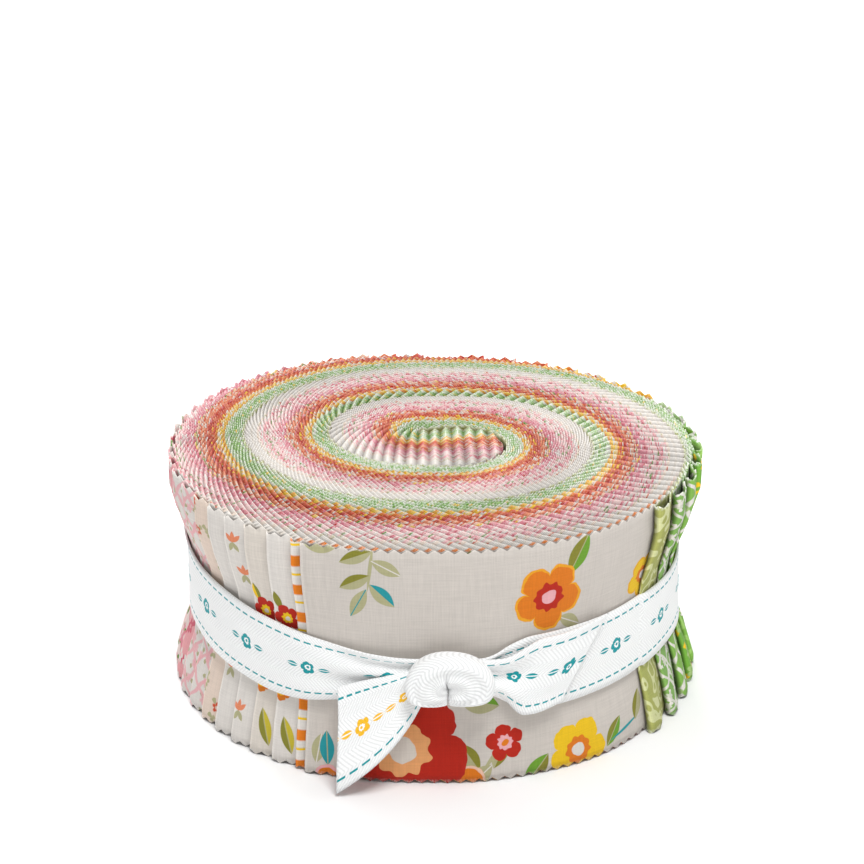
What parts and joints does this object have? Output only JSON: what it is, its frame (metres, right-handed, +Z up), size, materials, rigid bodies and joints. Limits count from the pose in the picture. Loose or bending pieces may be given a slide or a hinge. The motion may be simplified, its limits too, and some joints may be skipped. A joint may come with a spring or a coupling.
{
  "type": "precut fabric strip roll",
  "caption": "Stack of folded quilting-cotton strips with pinked edges, rolled up and tied round the middle with a knotted white twill ribbon that has two loose tails.",
  "frame": {"origin": "under the middle of the whole object's box, on the surface that the roll stands on", "axes": "+Z up along the roll's axis, -Y towards the knot, +X to the right when facing the knot"},
  "size_m": [0.14, 0.1462, 0.0635],
  "materials": {
    "strip_01": "matt quilting cotton, olive print",
    "strip_02": "matt quilting cotton, green and white print",
    "strip_03": "matt quilting cotton, green and white print",
    "strip_04": "matt quilting cotton, green and white print",
    "strip_05": "matt quilting cotton, green and white print",
    "strip_06": "matt quilting cotton, green and white print",
    "strip_07": "matt quilting cotton, green and white print",
    "strip_08": "matt quilting cotton, green and white print",
    "strip_09": "matt quilting cotton, yellow and orange print",
    "strip_10": "matt quilting cotton, yellow and orange print",
    "strip_11": "matt quilting cotton, yellow and orange print",
    "strip_12": "matt quilting cotton, coral and red print",
    "strip_13": "matt quilting cotton, coral and red print",
    "strip_14": "matt quilting cotton, coral and red print",
    "strip_15": "matt quilting cotton, coral and red print",
    "strip_16": "matt quilting cotton, coral and red print",
    "strip_17": "matt quilting cotton, coral and red print",
    "strip_18": "matt quilting cotton, coral and red print",
    "strip_19": "matt quilting cotton, coral and red print",
    "strip_20": "matt quilting cotton, coral and red print",
    "strip_21": "matt quilting cotton, pink print",
    "strip_22": "matt quilting cotton, pink print",
    "strip_23": "matt quilting cotton, pink print",
    "strip_24": "matt quilting cotton, pink print",
    "strip_25": "matt quilting cotton, pink print",
    "strip_26": "matt quilting cotton, pink print",
    "strip_27": "matt quilting cotton, pink print",
    "strip_28": "matt quilting cotton, pink print",
    "strip_29": "matt quilting cotton, cream print with small coloured flowers",
    "strip_30": "matt quilting cotton, cream print with small coloured flowers",
    "strip_31": "matt quilting cotton, cream print with small coloured flowers",
    "strip_32": "matt quilting cotton, cream print with small coloured flowers",
    "strip_33": "matt quilting cotton, cream print with small coloured flowers",
    "strip_34": "matt quilting cotton, cream print with small coloured flowers",
    "strip_35": "matt quilting cotton, cream print with small coloured flowers",
    "strip_36": "matt quilting cotton, cream print with small coloured flowers",
    "strip_37": "matt quilting cotton, cream print with small coloured flowers",
    "strip_38": "matt quilting cotton, cream print with small coloured flowers",
    "strip_39": "matt quilting cotton, cream print with small coloured flowers",
    "strip_40": "matt quilting cotton, cream print with small coloured flowers",
    "ribbon_band": "white herringbone twill ribbon with a teal dashed line along each edge",
    "ribbon_knot": "white herringbone twill ribbon with a teal dashed line along each edge",
    "ribbon_tail_left": "white herringbone twill ribbon with a teal dashed line along each edge",
    "ribbon_tail_right": "white herringbone twill ribbon with a teal dashed line along each edge"
  },
  "bodies": {
    "roll": {"strip_01": "strip_01", "strip_02": "strip_02", "strip_03": "strip_03", "strip_04": "strip_04", "strip_05": "strip_05", "strip_06": "strip_06", "strip_07": "strip_07", "strip_08": "strip_08", "strip_09": "strip_09", "strip_10": "strip_10", "strip_11": "strip_11", "strip_12": "strip_12", "strip_13": "strip_13", "strip_14": "strip_14", "strip_15": "strip_15", "strip_16": "strip_16", "strip_17": "strip_17", "strip_18": "strip_18", "strip_19": "strip_19", "strip_20": "strip_20", "strip_21": "strip_21", "strip_22": "strip_22", "strip_23": "strip_23", "strip_24": "strip_24", "strip_25": "strip_25", "strip_26": "strip_26", "strip_27": "strip_27", "strip_28": "strip_28", "strip_29": "strip_29", "strip_30": "strip_30", "strip_31": "strip_31", "strip_32": "strip_32", "strip_33": "strip_33", "strip_34": "strip_34", "strip_35": "strip_35", "strip_36": "strip_36", "strip_37": "strip_37", "strip_38": "strip_38", "strip_39": "strip_39", "strip_40": "strip_40"},
    "ribbon": {"ribbon_band": "ribbon_band", "ribbon_knot": "ribbon_knot"},
    "tail_left": {"ribbon_tail_left": "ribbon_tail_left"},
    "tail_right": {"ribbon_tail_right": "ribbon_tail_right"}
  },
  "joints": [
    {"name": "ribbon_slide", "type": "slide", "parent": "roll", "child": "ribbon", "axis": [0, 0, 1], "range_m": [0, 0.066]},
    {"name": "tail_left_lift", "type": "hinge", "parent": "ribbon", "child": "tail_left", "pos_m": [-0.00496, -0.06676, 0.0269], "axis": [-0.4473, 0.0895, 0.8899], "range_deg": [0, 90]},
    {"name": "tail_right_lift", "type": "hinge", "parent": "ribbon", "child": "tail_right", "pos_m": [0.01564, -0.06487, 0.0295], "axis": [0, 0, -1], "range_deg": [0, 90]}
  ]
}
